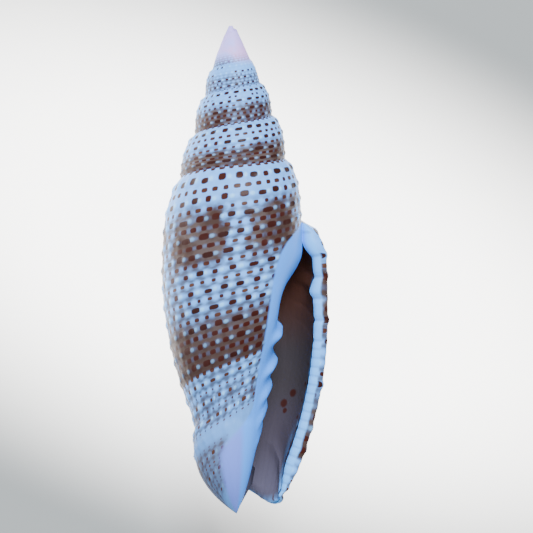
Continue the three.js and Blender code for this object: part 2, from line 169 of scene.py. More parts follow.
# Spiral cords and beads: strong cords carry beads, weak cords run between them
CORDS = 13
BEADS_PER_TURN = 24
WEAK_DASHES_PER_TURN = 36
CORD_SHIFT = 0.37
WEAK_SHIFT = 0.61
DASH_AFTER_BEAD = 0.6
BEAD_WOBBLE = 0.13
BEAD_WOBBLE_RATE = 31.0
BEAD_WOBBLE_SHIFT = 1.7
STRONG_CORD_HEIGHT = 0.06
STRONG_CORD_WIDTH = 0.2
WEAK_CORD_HEIGHT = 0.05
WEAK_CORD_WIDTH = 0.14
GROOVE_DEPTH = 0.05
BEAD_HEIGHT = 0.16
BEAD_LENGTH = 0.17
SHOULDER_BEAD = 0.2
SUTURE_GROOVE = 0.12
SUTURE_GROOVE_WIDTH = 0.008
RELIEF_FADE = (1.1, 1.25)
RELIEF_TURN = -0.75

# Mesh
COLUMNS = 216
SPIRE_ROWS = 36
WHORL_ROWS = 117
TIP_ROWS = 32
TIP_ROW_CROWDING = 1.25
RIM_RINGS = 7
RIM_TURNS = 0.03
RIM_DOWN_BEFORE = 12
RIM_DOWN_AFTER = 8
CLOSED_LIP_ROWS = 8
CLOSED_WALL_ROWS = 11
POLE_ROW = WHORL_ROWS + TIP_ROWS
SPIRE_COLUMNS = int(SPIRE_TURNS * COLUMNS)

# Rectangles of the texture map: left, bottom, right, top
MAP_GAP = 0.004
WHORL_MAP = (0.004, 0.46, 0.996, 0.996)
SPIRE_MAP = (0.004, 0.2, 0.996, 0.456)
HOLLOW_MAP = (0.004, 0.056, 0.996, 0.196)
RIM_MAP = (0.12, 0.004, 0.996, 0.052)
TIP_MAP = (0.004, 0.004, 0.052, 0.052)
END_MAP = (0.06, 0.004, 0.108, 0.052)

# Resting pose, in degrees
REST_ROLL = -19.1
REST_PITCH = -2.1


# Small helpers


def smoothstep(value, low, high):
    t = np.clip((value - low) / (high - low), 0.0, 1.0)
    return t * t * (3.0 - 2.0 * t)


def mix(a, b, amount):
    return a + (b - a) * amount


def bell(value, width):
    return np.exp(-(value / width) ** 2)


# Growth laws


def suture_depth(turn):
    return np.maximum(APEX_DEPTH, SUTURE_ORIGIN + SUTURE_REACH * HEIGHT_GROWTH ** turn)


def suture_lag(turn):
    return SUTURE_LAG * bell(turn - SUTURE_LAG_TURN, SUTURE_LAG_SPREAD)


def whorl_radius(turn):
    return np.maximum(APEX_RADIUS, RADIUS_REACH * RADIUS_GROWTH ** turn - RADIUS_LOSS)


def whorl_height(turn):
    return WHORL_HEIGHT * HEIGHT_GROWTH ** turn


def share_at_depth(turn, depth):
    return (depth - suture_depth(turn)) / whorl_height(turn)


def base_taper(share):
    upper = np.clip(share, BASE_START, WAIST_START) - BASE_START
    slope = 2.0 * BASE_TAPER * (WAIST_START - BASE_START)
    below = np.maximum(0.0, share - WAIST_START)
    waist = slope * WAIST_SOFTNESS * (1.0 - np.exp(-below / WAIST_SOFTNESS))
    return 1.0 - BASE_TAPER * upper ** 2 - waist


def shoulder_amount(turn, share):
    """The whorls step out at their shoulders, but the oldest ones make a plain cone."""
    near_lip = smoothstep(turn, -LIP_SHOULDER_TURNS, 0.0)
    rounded = 1.0 - np.exp(-share / mix(SHOULDER_SHARE, LIP_SHOULDER_SHARE, near_lip))
    straight = np.minimum(1.0, share / SPIRE_SHARE)
    return mix(straight, rounded, smoothstep(turn, EARLY_TURN, EARLY_END_TURN))


def whorl_point(turn, share):
    inner = whorl_radius(turn - 1.0)
    outer = whorl_radius(turn) + LIP_FLARE * smoothstep(turn, -LIP_FLARE_TURNS, 0.0)
    shoulder = shoulder_amount(turn, share)
    lag = suture_lag(turn) * np.exp(-share / SUTURE_LAG_FADE)
    lag = lag + suture_lag(turn + 1.0) * bell(share - SPIRE_SHARE, SUTURE_LAG_RISE)
    radius = mix(inner, outer, shoulder) * base_taper(share)
    depth = suture_depth(turn) - lag + whorl_height(turn) * share
    return radius, depth


def tip_point(turn, share):
    end_depth = whorl_point(turn, 1.0)[1]
    start = np.maximum(FASCIOLE_DEPTH, end_depth)
    depth = mix(end_depth, SHELL_LENGTH, share)
    whorl = whorl_point(turn, share_at_depth(turn, np.minimum(depth, start)))[0]
    below = np.maximum(0.0, depth - start) / (SHELL_LENGTH - start)
    swelling = FASCIOLE_SWELLING * np.sin(math.pi * np.sqrt(below))
    return whorl * (1.0 - below ** FASCIOLE_TAPER) + swelling, depth


def tip_share(row):
    return (np.maximum(0.0, row - WHORL_ROWS) / TIP_ROWS) ** TIP_ROW_CROWDING


def outline(turn, row):
    on_whorl = whorl_point(turn, np.minimum(row, WHORL_ROWS) / WHORL_ROWS)
    on_tip = tip_point(turn, tip_share(row))
    is_whorl = row <= WHORL_ROWS
    return np.where(is_whorl, on_whorl[0], on_tip[0]), np.where(is_whorl, on_whorl[1], on_tip[1])


def outward_normal(turn, row):
    before = outline(turn, np.maximum(0.0, row - 0.5))
    after = outline(turn, np.minimum(POLE_ROW, row + 0.5))
    radial = after[1] - before[1]
    axial = before[0] - after[0]
    length = np.hypot(radial, axial)
    return radial / length, axial / length


# Columella


def fold_height(share):
    return sum(height * bell(share - place, FOLD_WIDTH) for place, height in FOLDS)


def pillar_radius(share):
    pillar = PILLAR_RADIUS * (1.0 - np.clip(share / PILLAR_END, 0.0, 1.0) ** PILLAR_TAPER)
    return pillar + PARIETAL_STEP * (1.0 - smoothstep(share, PARIETAL_TOP, PARIETAL_FOOT))


def columella_radius(turn, share):
    return (pillar_radius(share) + fold_height(share)) * whorl_radius(turn) / whorl_radius(0.0)


def callus_amount(turn, depth):
    foot = smoothstep(depth, CALLUS_FOOT_DEPTH, CALLUS_FOOT_DEPTH + CALLUS_FOOT_REACH)
    nearness = 1.0 - smoothstep(turn, -1.0, -1.0 + CALLUS_TURNS + CALLUS_FOOT_TURNS * foot)
    return nearness * smoothstep(depth, CALLUS_TOP_DEPTH, CALLUS_FULL_DEPTH)


def smooth_band(turn, depth):
    """The glazed strip beside the aperture, where the cords and dashes stop."""
    top = SMOOTH_TOP_WIDTH * np.exp(-np.maximum(0.0, depth - CALLUS_TOP_DEPTH) / SMOOTH_TOP_FADE)
    foot = smoothstep(depth, SMOOTH_FOOT_DEPTH, SMOOTH_FOOT_DEPTH + SMOOTH_FOOT_REACH)
    boundary = SMOOTH_TURN - top + SMOOTH_FOOT_WIDTH * foot
    edge = mix(SMOOTH_EDGE, SMOOTH_FOOT_EDGE, foot)
    return 1.0 - smoothstep(turn - boundary, -edge, edge)


# Relief of the outer surface


def bead_phase(turn, cord):
    wobble = BEAD_WOBBLE * np.sin(turn * BEAD_WOBBLE_RATE + cord * BEAD_WOBBLE_SHIFT)
    return turn * BEADS_PER_TURN + cord * CORD_SHIFT + wobble


def relief(turn, share):
    place = share * CORDS
    cord = np.floor(place)
    across = place - cord
    phase = bead_phase(turn, cord)
    along = phase - np.floor(phase)
    strong = bell(across - 0.5, STRONG_CORD_WIDTH)
    weak = bell(np.minimum(across, 1.0 - across), WEAK_CORD_WIDTH)
    bead = bell(along - 0.5, BEAD_LENGTH) * strong
    bead_height = np.where(cord == 0, SHOULDER_BEAD, BEAD_HEIGHT)
    height = STRONG_CORD_HEIGHT * strong + WEAK_CORD_HEIGHT * weak + bead_height * bead - GROOVE_DEPTH
    height = mix(height, -SUTURE_GROOVE, bell(share, SUTURE_GROOVE_WIDTH))
    height = height * (1.0 - smoothstep(share, *RELIEF_FADE))
    height = height * smoothstep(turn, EARLY_TURN, EARLY_END_TURN)
    return height * whorl_radius(turn) / whorl_radius(RELIEF_TURN)


# Edge of the aperture


def edge_turn(row):
    return -NOTCH_TURNS * smoothstep(tip_share(row), 0.0, NOTCH_TURN_END)


def notch_rise(along):
    """The edge first drops behind the toe of the lip, then climbs into the cut beside the tip."""
    climb = smoothstep(along, NOTCH_START, NOTCH_TOP) * (1.0 - smoothstep(along, NOTCH_TOP, 1.0))
    return NOTCH_HEIGHT * climb - BACK_TOE_DROP * bell(along - BACK_TOE, BACK_TOE_WIDTH)


def edge_offset(row):
    """Radius and depth from the plain outline to the edge, at the toe of the lip and in the notch."""
    toe = np.clip((row / WHORL_ROWS - LIP_TOE_SHARE) / (1.0 - LIP_TOE_SHARE), 0.0, 1.0) ** 2
    along = tip_share(row)
    edge_radius, edge_depth = outline(edge_turn(row), row)
    toe_radius, toe_depth = whorl_point(0.0, 1.0)
    notch_radius = mix(toe_radius - LIP_TOE_PULL, edge_radius, smoothstep(along, 0.0, NOTCH_BLEND))
    notch_depth = mix(toe_depth - LIP_TOE_LIFT, SHELL_LENGTH, along) - notch_rise(along)
    in_notch = row > WHORL_ROWS
    radius_offset = np.where(in_notch, notch_radius - edge_radius, -LIP_TOE_PULL * toe)
    return radius_offset, np.where(in_notch, notch_depth - edge_depth, -LIP_TOE_LIFT * toe)


def pull_to_edge(turn, radius, depth, row):
    radius_offset, depth_offset = edge_offset(row)
    pull = 1.0 - smoothstep(edge_turn(row) - turn, 0.0, NOTCH_REACH)
    return radius + radius_offset * pull, depth + depth_offset * pull


def surface(turn, row, beside_aperture):
    radius, depth = outline(turn, row)
    callus = callus_amount(turn, depth) * beside_aperture
    smooth = smooth_band(turn, depth) * beside_aperture
    share = np.where(row <= WHORL_ROWS, row / WHORL_ROWS, share_at_depth(turn, depth))
    height = relief(turn, share) * (1.0 - smooth)
    radial, axial = outward_normal(turn, row)
    radius = np.maximum(0.0, radius + radial * height)
    depth = depth + axial * height
    radius, depth = pull_to_edge(turn, radius, depth, row)
    pillar = pillar_radius(share_at_depth(0.0, depth))
    folds = fold_height(share_at_depth(turn + 1.0, depth))
    fold_amount = 1.0 - smoothstep(turn, -1.0 + FOLD_END_TURNS / 2, -1.0 + FOLD_END_TURNS)
    beside = mix(radius, pillar, callus) + folds * fold_amount
    radius = np.where(beside_aperture, beside, radius)
    return radius, depth, share, smooth


def lobe_grooves(share):
    """Grooves across the lip: deep and far apart above, fine and close below."""
    wide = share * WIDE_LOBES - WIDE_LOBE_SHIFT
    fine = share * FINE_LOBES
    lower = smoothstep(share, *LOBES_CHANGE)
    start = smoothstep(share, *LOBES_START)
    deep = WIDE_GROOVE * start * (1.0 - lower) * bell(wide - np.round(wide), WIDE_GROOVE_WIDTH)
    return deep + FINE_GROOVE * lower * bell(fine - np.round(fine), FINE_GROOVE_WIDTH)


def lip_width(share):
    width = mix(LIP_WIDTH, NOTCH_WALL, smoothstep(share, LIP_TOE_SHARE, 1.0))
    return width + LIP_KNOB_HEIGHT * bell(share - LIP_KNOB_SHARE, LIP_KNOB_WIDTH)


def lip_inner_edge():
    """The edge one lip width inside; its top runs onto the whorl before and closes the aperture."""
    rows = np.arange(POLE_ROW + 1.0)
    share = rows / WHORL_ROWS
    radius, depth = outline(0.0, rows)
    radius, depth = pull_to_edge(0.0, radius, depth, rows)
    radial, axial = outward_normal(0.0, rows)
    level = smoothstep(share, LIP_TOE_SHARE, 1.0)
    radial, axial = mix(radial, 1.0, level), axial * (1.0 - level)
    width = lip_width(share) - LOBE_EDGE * lobe_grooves(share)
    closed = 1.0 - smoothstep(share, CLOSED_LIP_ROWS / WHORL_ROWS, LIP_OPEN_SHARE)
    lip_radius = mix(radius - radial * width, pillar_radius(share), closed)
    lip_depth = depth - axial * width * (1.0 - closed)
    turn = edge_turn(rows)
    notch_radius, notch_depth, _, _ = surface(turn, rows, False)
    notch_radius = np.maximum(0.0, notch_radius - NOTCH_WALL * (1.0 - tip_share(rows)))
    is_lip = rows <= WHORL_ROWS
    return turn, np.where(is_lip, lip_radius, notch_radius), np.where(is_lip, lip_depth, notch_depth)


# Hollow


def hollow_point(turn, progress, side):
    foot = mix(HOLLOW_DEEP_FOOT, HOLLOW_FOOT, smoothstep(turn, -1.0, HOLLOW_FOOT_TURN))
    share = mix(HOLLOW_TOP, foot, progress)
    radius, depth = whorl_point(turn, share)
    near_lip = smoothstep(turn, -WALL_THINNING_TURNS, 0.0)
    wall = mix(WALL_THICKNESS, LIP_WIDTH, near_lip) * whorl_radius(turn) / whorl_radius(0.0)
    outer = radius - wall
    inner = np.minimum(outer, columella_radius(turn, share))
    roundness = np.sqrt(1.0 - np.abs(2.0 * progress - 1.0) ** HOLLOW_ROUNDNESS)
    return (outer + inner) / 2 + side * roundness * (outer - inner) / 2, depth


def hollow_limit(turn, depth):
    """Largest radius of the hollow that leaves a wall at this depth."""
    share = np.maximum(SPIRE_SHARE, share_at_depth(turn, depth))
    return whorl_point(turn, share)[0] - NOTCH_WALL


# Growth coordinates to the row frame


def to_position(turn, radius, depth):
    turn, radius, depth = np.broadcast_arrays(turn, radius, depth)
    angle = 2.0 * math.pi * turn
    drift = AXIS_DRIFT * smoothstep(depth, 0.0, AXIS_DRIFT_DEPTH)
    return np.stack([drift + radius * np.cos(angle), -depth, radius * np.sin(angle)], axis=-1)


# Mesh assembly


class ShellMesh:
    """Points with their zones, and faces whose corners hold turn, share and a map place."""

    def __init__(self):
        self.points = []
        self.count = 0
        self.faces = []
        self.corners = []
        self.zones = []

    def add_points(self, positions, zones):
        flat = positions.reshape(-1, 3)
        first = self.count
        self.points.append(flat)
        self.zones.append(np.broadcast_to(zones, positions.shape).reshape(-1, 3))
        self.count += len(flat)
        return np.arange(first, self.count).reshape(positions.shape[:-1])

    def add_face(self, ids, corners):
        kept = [k for k in range(len(ids)) if ids[k] != ids[k - 1]]
        if len(kept) >= 3:
            self.faces.append([ids[k] for k in kept][::-1])
            self.corners.extend([corners[k] for k in kept][::-1])

    def add_grid(self, ids, growth, patch):
        """A grid of quads that fills one rectangle of the map."""
        rows, columns = ids.shape
        across = mix(patch[0], patch[2], np.linspace(0.0, 1.0, rows))[:, None]
        up = mix(patch[1], patch[3], np.linspace(0.0, 1.0, columns))[None, :]
        corners = np.concatenate([growth, stack(across, up)], axis=-1).tolist()
        ids = ids.tolist()
        for i in range(rows - 1):
            for j in range(columns - 1):
                places = ((i, j), (i + 1, j), (i + 1, j + 1), (i, j + 1))
                self.add_face([ids[a][b] for a, b in places], [corners[a][b] for a, b in places])

    def add_seam(self, left, right, left_corners, right_corners):
        """Triangles between two lines with different numbers of points."""
        i = j = 0
        while i + 1 < len(left) or j + 1 < len(right):
            if (i + 1) * (len(right) - 1) <= (j + 1) * (len(left) - 1):
                self.add_face([left[i], right[j], left[i + 1]],
                              [left_corners[i], right_corners[j], left_corners[i + 1]])
                i += 1
            else:
                self.add_face([left[i], right[j], right[j + 1]],
                              [left_corners[i], right_corners[j], right_corners[j + 1]])
                j += 1

    def add_fan(self, ring, middle, growth, patch):
        """Triangles from a closed ring to its middle, in one small square of the map."""
        centre = ((patch[0] + patch[2]) / 2, (patch[1] + patch[3]) / 2)
        reach = (patch[2] - patch[0]) / 2
        angle = 2 * math.pi * np.arange(len(ring) + 1) / len(ring)
        places = np.stack([centre[0] + reach * np.cos(angle), centre[1] + reach * np.sin(angle)], axis=-1)
        places = [growth + place for place in places.tolist()]
        for k in range(len(ring)):
            corners = [places[k], places[k + 1], growth + list(centre)]
            self.add_face([ring[k], ring[(k + 1) % len(ring)], middle], corners)

    def drop_unused(self):
        used = np.unique(np.concatenate([np.array(face) for face in self.faces]))
        renumber = np.zeros(self.count, int)
        renumber[used] = np.arange(len(used))
        self.faces = [renumber[face].tolist() for face in self.faces]
        self.points = np.concatenate(self.points)[used]
        self.zones = np.concatenate(self.zones)[used]


def stack(*values):
    return np.stack(np.broadcast_arrays(*values), axis=-1).astype(float)


def spire_patch(band):
    """Map rectangle of one spire whorl, counted back from the last; each is as much lower as it is older."""
    shrink = 1.0 / HEIGHT_GROWTH
    whole = (1.0 - shrink ** math.ceil(SPIRE_TURNS)) / (1.0 - shrink)
    top = SPIRE_MAP[3] - (SPIRE_MAP[3] - SPIRE_MAP[1]) * (1.0 - shrink ** band) / (1.0 - shrink) / whole
    height = (SPIRE_MAP[3] - SPIRE_MAP[1]) * shrink ** band / whole
    return SPIRE_MAP[0], top - height + MAP_GAP, SPIRE_MAP[2], top


def add_outside(shell):
    pole = shell.add_points(to_position(np.zeros(1), 0.0, SHELL_LENGTH), 0.0)[0]
    tip = shell.add_points(to_position(np.zeros(1), 0.0, 0.0), 0.0)[0]
    spire_turn = (np.arange(SPIRE_COLUMNS + 1) - SPIRE_COLUMNS)[:, None] / COLUMNS - 1.0
    rows = np.arange(float(SPIRE_ROWS))[None, :]
    radius, depth, _, _ = surface(spire_turn[:-1], rows, False)
    spire = shell.add_points(to_position(spire_turn[:-1], radius, depth), 0.0)

    rows = np.arange(float(POLE_ROW))[None, :]
    growth = np.arange(COLUMNS + 1.0)[:, None] / COLUMNS
    last_turn = -1.0 + growth * (1.0 + edge_turn(rows))
    radius, depth, share, smooth = surface(last_turn, rows, rows > SPIRE_ROWS)
    zones = stack(smooth, 0.0, 0.0)
    last = shell.add_points(to_position(last_turn, radius, depth), zones)
    last = np.concatenate([last, np.full((COLUMNS + 1, 1), pole)], axis=1)
    last[0, SPIRE_ROWS] = last[COLUMNS, 0]

    tops = np.concatenate([spire[:, 0], last[:, 0]])
    spire = np.concatenate([spire, tops[COLUMNS:COLUMNS + SPIRE_COLUMNS, None]], axis=1)
    spire = np.concatenate([spire, last[:1, :SPIRE_ROWS + 1]])
    spire_share = np.arange(SPIRE_ROWS + 1.0)[None, :] / WHORL_ROWS
    add_spire_bands(shell, spire, stack(spire_turn, spire_share))

    last_turn = np.concatenate([last_turn, last_turn[:, -1:]], axis=1)
    share = np.concatenate([share, share[:, -1:]], axis=1)
    shell.add_grid(last, stack(last_turn, share), WHORL_MAP)
    ring = np.concatenate([spire[:COLUMNS + 1, 0], spire[0, SPIRE_ROWS - 1:0:-1]])
    shell.add_fan(ring.tolist(), tip, [-1.0 - SPIRE_TURNS, 0.0], TIP_MAP)
    return last


def add_spire_bands(shell, spire, growth):
    for band in range(math.ceil(SPIRE_TURNS)):
        last = SPIRE_COLUMNS - band * COLUMNS
        first = max(0, last - COLUMNS)
        left, low, right, high = spire_patch(band)
        right = mix(left, right, (last - first) / COLUMNS)
        shell.add_grid(spire[first:last + 1], growth[first:last + 1], (left, low, right, high))


def lip_progress():
    """Place round the hollow's wall, from 0 at the top of the aperture to 1 at the siphonal tip."""
    rows = np.arange(float(CLOSED_LIP_ROWS), POLE_ROW)
    on_lip = (rows - CLOSED_LIP_ROWS) / (WHORL_ROWS - CLOSED_LIP_ROWS) * LIP_PROGRESS
    return np.where(rows <= WHORL_ROWS, on_lip, mix(LIP_PROGRESS, 1.0, tip_share(rows)))


def hollow_edge(shell, last):
    """The closed line where the hollow starts: down inside the lip, then up the columella."""
    edge_turns, edge_radius, edge_depth = (values[CLOSED_LIP_ROWS:] for values in lip_inner_edge())
    edge = to_position(edge_turns, edge_radius, edge_depth)
    corner_row = SPIRE_ROWS + CLOSED_WALL_ROWS
    corner = last[0, corner_row:corner_row + 1]
    lip_ids = np.concatenate([corner, shell.add_points(edge[1:-1], (0.0, 0.0, 1.0))])
    side_rows = np.arange(POLE_ROW, corner_row, -1)
    side_radius, side_depth, _, _ = surface(-1.0, side_rows.astype(float), True)
    top = edge_depth[0]
    side_progress = np.clip((side_depth - top) / (SHELL_LENGTH - top), 0.0, 1.0)
    ids = np.concatenate([lip_ids, last[0, side_rows]])
    turn = np.concatenate([edge_turns[:-1], np.zeros(len(side_rows))])
    radius = np.concatenate([edge_radius[:-1], side_radius])
    depth = np.concatenate([edge_depth[:-1], side_depth])
    progress = np.concatenate([lip_progress(), side_progress])
    side = np.concatenate([np.ones(len(lip_ids)), -np.ones(len(side_rows))])
    return lip_ids, ids, turn, radius, depth, progress, side


def hollow_rings(turn, radius, depth, progress, side):
    """Rings of the hollow, which go from the edge's shape to the whorl's."""
    stations = np.arange(1, HOLLOW_STATIONS + 1)[:, None] / HOLLOW_STATIONS
    back = HOLLOW_TURNS * stations ** HOLLOW_CROWDING
    deep_turn = turn * np.exp(-back / EDGE_MEMORY) - back
    target_radius, target_depth = hollow_point(deep_turn, progress, side)
    origin_radius, origin_depth = hollow_point(turn, progress, side)
    memory = 1.0 - smoothstep(back, 0.0, EDGE_BLEND_TURNS)
    ring_depth = target_depth + (depth - origin_depth) * memory
    ring_radius = target_radius + (radius - origin_radius) * memory
    ring_radius = np.minimum(ring_radius, hollow_limit(deep_turn, ring_depth))
    return back, deep_turn, ring_radius, ring_depth


def inside_amount(back, progress, side):
    """The colour of the inside sets in slowly behind the lip, and slowest at its toe."""
    toe = smoothstep(progress, *INSIDE_TOE) * (side > 0)
    toe = toe * (1.0 - smoothstep(progress, LIP_PROGRESS - INSIDE_TOE_FADE, LIP_PROGRESS))
    return smoothstep(back, 0.0, mix(INSIDE_START_TURNS, INSIDE_TOE_TURNS, toe))


def close_loop(lines):
    return np.concatenate([lines, lines[:, :1]], axis=1)


def add_hollow(shell, last):
    lip_ids, first, turn, radius, depth, progress, side = hollow_edge(shell, last)
    back, deep_turn, ring_radius, ring_depth = hollow_rings(turn, radius, depth, progress, side)
    zones = stack(0.0, inside_amount(back, progress, side), 0.0)
    rings = shell.add_points(to_position(deep_turn, ring_radius, ring_depth), zones)
    ids = close_loop(np.concatenate([first[None, :], rings]))
    turns = close_loop(np.concatenate([turn[None, :], deep_turn]))
    growth = stack(turns, close_loop(progress[None, :]))
    shell.add_grid(ids[::-1], growth[::-1], HOLLOW_MAP)
    end = to_position(deep_turn[-1], ring_radius[-1], ring_depth[-1])
    middle = shell.add_points(end.mean(axis=0)[None, :], (0.0, 1.0, 0.0))[0]
    shell.add_fan(rings[-1].tolist(), middle, [-HOLLOW_TURNS, 0.5], END_MAP)
    return np.concatenate([lip_ids, last[0, POLE_ROW:POLE_ROW + 1]])


def rim_positions(outer, inner, groove, forward, ring):
    width = np.linalg.norm(outer - inner, axis=1)[:, None]
    turning = math.pi * ring / (RIM_RINGS + 1)
    bulge = (LIP_BULGE * width / LIP_WIDTH - groove[:, None]) * math.sin(turning)
    return mix(outer, inner, (1 - math.cos(turning)) / 2) + forward * bulge


def rim_forward(rows):
    """The lip's edge swells to the front, and round the notch it swells downwards."""
    angle = 2 * math.pi * edge_turn(rows)
    down = smoothstep(rows, WHORL_ROWS - RIM_DOWN_BEFORE, WHORL_ROWS + RIM_DOWN_AFTER)[:, None]
    forward = np.stack([-np.sin(angle), np.zeros_like(angle), np.cos(angle)], axis=1)
    forward = mix(forward, np.array([0.0, -1.0, 0.0]), down)
    return forward / np.linalg.norm(forward, axis=1)[:, None]


def add_rim(shell, last, inner_ids):
    outer_ids = last[COLUMNS]
    outer = np.concatenate(shell.points)[outer_ids]
    inner = to_position(*lip_inner_edge())
    rows = np.arange(POLE_ROW + 1.0)
    groove = lobe_grooves(rows / WHORL_ROWS) * np.minimum(1.0, (POLE_ROW - rows) / TIP_ROWS)
    forward = rim_forward(rows)
    ids = [outer_ids]
    for ring in range(1, RIM_RINGS + 1):
        positions = rim_positions(outer, inner, groove, forward, ring)
        ring_ids = shell.add_points(positions, (0.0, 0.0, ring / (RIM_RINGS + 1)))
        ring_ids[0] = outer_ids[0]
        ring_ids[-1] = outer_ids[-1]
        ids.append(ring_ids)
    place = RIM_TURNS * np.arange(RIM_RINGS + 2.0)[:, None] / (RIM_RINGS + 1)
    growth = stack(place, rows[None, :] / WHORL_ROWS)
    add_rim_strip(shell, np.stack(ids), growth[:-1], 0.0, RIM_RINGS / (RIM_RINGS + 1))
    inner_strip = np.stack([ids[-1][CLOSED_LIP_ROWS:], inner_ids])
    add_rim_strip(shell, inner_strip, growth[-2:, CLOSED_LIP_ROWS:], RIM_RINGS / (RIM_RINGS + 1), 1.0)
    add_rim_seam(shell, last, ids[-1])


def rim_place(row, across):
    """Place on the texture map: along the lip from right to left, across it from bottom to top."""
    return mix(RIM_MAP[2], RIM_MAP[0], row / POLE_ROW), mix(RIM_MAP[1], RIM_MAP[3], across)


def add_rim_strip(shell, ids, growth, low, high):
    first_row = POLE_ROW + 1 - ids.shape[1]
    left, bottom = rim_place(POLE_ROW, low)
    right, top = rim_place(first_row, high)
    shell.add_grid(ids.T[::-1], growth.transpose(1, 0, 2)[::-1], (left, bottom, right, top))


def add_rim_seam(shell, last, ring_ids):
    """Joins the closed top of the lip to the whorl before."""
    lines = []
    walls = last[0, SPIRE_ROWS:SPIRE_ROWS + CLOSED_WALL_ROWS + 1]
    for ids, across in ((ring_ids[:CLOSED_LIP_ROWS + 1], RIM_RINGS / (RIM_RINGS + 1)), (walls, 1.0)):
        rows = np.linspace(0.0, CLOSED_LIP_ROWS, len(ids))
        corners = stack(RIM_TURNS, rows / WHORL_ROWS, *rim_place(rows, across))
        lines.append((ids.tolist(), corners.tolist()))
    (left, left_corners), (right, right_corners) = lines
    shell.add_seam(left, right, left_corners, right_corners)


def rest_matrix():
    pitch = Matrix.Rotation(math.radians(REST_PITCH), 4, "X")
    return pitch @ Matrix.Rotation(math.radians(REST_ROLL), 4, "Y")


def place_in_row(points):
    """Lays the shell down and sets it where the solid lies."""
    turned = points @ np.array(rest_matrix().to_3x3()).T * MM
    low, high = (np.array(corner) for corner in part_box("shell"))
    middle = (turned.min(axis=0) + turned.max(axis=0)) / 2
    offset = (low + high) / 2 - middle
    offset[2] = low[2] - turned[:, 2].min()
    return turned + offset


def build_shell():
    shell = ShellMesh()
    last = add_outside(shell)
    inner_ids = add_hollow(shell, last)
    add_rim(shell, last, inner_ids)
    shell.drop_unused()
    mesh = bpy.data.meshes.new("mitre_shell")
    mesh.from_pydata(place_in_row(shell.points).tolist(), [], shell.faces)
    add_attributes(mesh, shell)
    mesh.shade_smooth()
    piece = bpy.data.objects.new("mitre_shell", mesh)
    bpy.context.collection.objects.link(piece)
    return piece


def add_attributes(mesh, shell):
    corners = np.array(shell.corners)
    growth = mesh.attributes.new("growth", "FLOAT_VECTOR", "CORNER")
    growth.data.foreach_set("vector", stack(corners[:, 0], corners[:, 1], 0.0).ravel())
    zones = mesh.attributes.new("zones", "FLOAT_VECTOR", "POINT")
    zones.data.foreach_set("vector", shell.zones.ravel())
    depth = mesh.attributes.new("depth", "FLOAT", "POINT")
    depth.data.foreach_set("value", -shell.points[:, 1])
    layer = mesh.uv_layers.new(name="OFBake")
    layer.data.foreach_set("uv", corners[:, 2:].ravel())


# Material


class Nodes:
    """Short calls for building a shader graph."""

    def __init__(self, name):
        self.material = bpy.data.materials.new(name)
        self.material.use_nodes = True
        self.tree = self.material.node_tree
        self.shader = self.tree.nodes["Principled BSDF"]

    def new(self, kind, **values):
        node = self.tree.nodes.new(kind)
        for key, value in values.items():
            setattr(node, key, value)
        return node

    def feed(self, socket, value):
        if isinstance(value, bpy.types.NodeSocket):
            self.tree.links.new(value, socket)
        else:
            socket.default_value = value

    def math(self, operation, a, b=0.0, c=0.0):
        node = self.new("ShaderNodeMath", operation=operation)
        for socket, value in zip(node.inputs, (a, b, c)):
            self.feed(socket, value)
        return node.outputs[0]

    def times(self, a, b):
        return self.math("MULTIPLY", a, b)

    def plus(self, a, b):
        return self.math("ADD", a, b)

    def minus(self, a, b):
        return self.math("SUBTRACT", a, b)

    def larger(self, a, b):
        return self.math("MAXIMUM", a, b)

    def scaled(self, value, scale, offset):
        return self.math("MULTIPLY_ADD", value, scale, offset)

    def ramp(self, value, low, high, out_low=0.0, out_high=1.0):
        node = self.new("ShaderNodeMapRange", interpolation_type="SMOOTHSTEP")
        for socket, item in zip(node.inputs, (value, low, high, out_low, out_high)):
            self.feed(socket, item)
        return node.outputs[0]

    def blend(self, amount, a, b):
        node = self.new("ShaderNodeMix", data_type="RGBA")
        self.feed(node.inputs[0], amount)
        self.feed(node.inputs[6], a)
        self.feed(node.inputs[7], b)
        return node.outputs[2]

    def attribute(self, name):
        node = self.new("ShaderNodeAttribute", attribute_name=name)
        split = self.new("ShaderNodeSeparateXYZ")
        self.tree.links.new(node.outputs["Vector"], split.inputs[0])
        return split.outputs

    def combine(self, x, y, z):
        node = self.new("ShaderNodeCombineXYZ")
        for socket, value in zip(node.inputs, (x, y, z)):
            self.feed(socket, value)
        return node.outputs[0]

    def noise(self, vector, scale, detail=2.0):
        node = self.new("ShaderNodeTexNoise")
        self.feed(node.inputs["Vector"], vector)
        node.inputs["Scale"].default_value = scale
        node.inputs["Detail"].default_value = detail
        return node.outputs[0]

    def random(self, vector):
        node = self.new("ShaderNodeTexWhiteNoise", noise_dimensions="3D")
        self.feed(node.inputs["Vector"], vector)
        return node.outputs[0]


def srgb(red, green, blue):
    """A linear colour from 0-255 screen values."""
    def linear(value):
        value = value / 255.0
        return value / 12.92 if value <= 0.04045 else ((value + 0.055) / 1.055) ** 2.4
    return (linear(red), linear(green), linear(blue), 1.0)


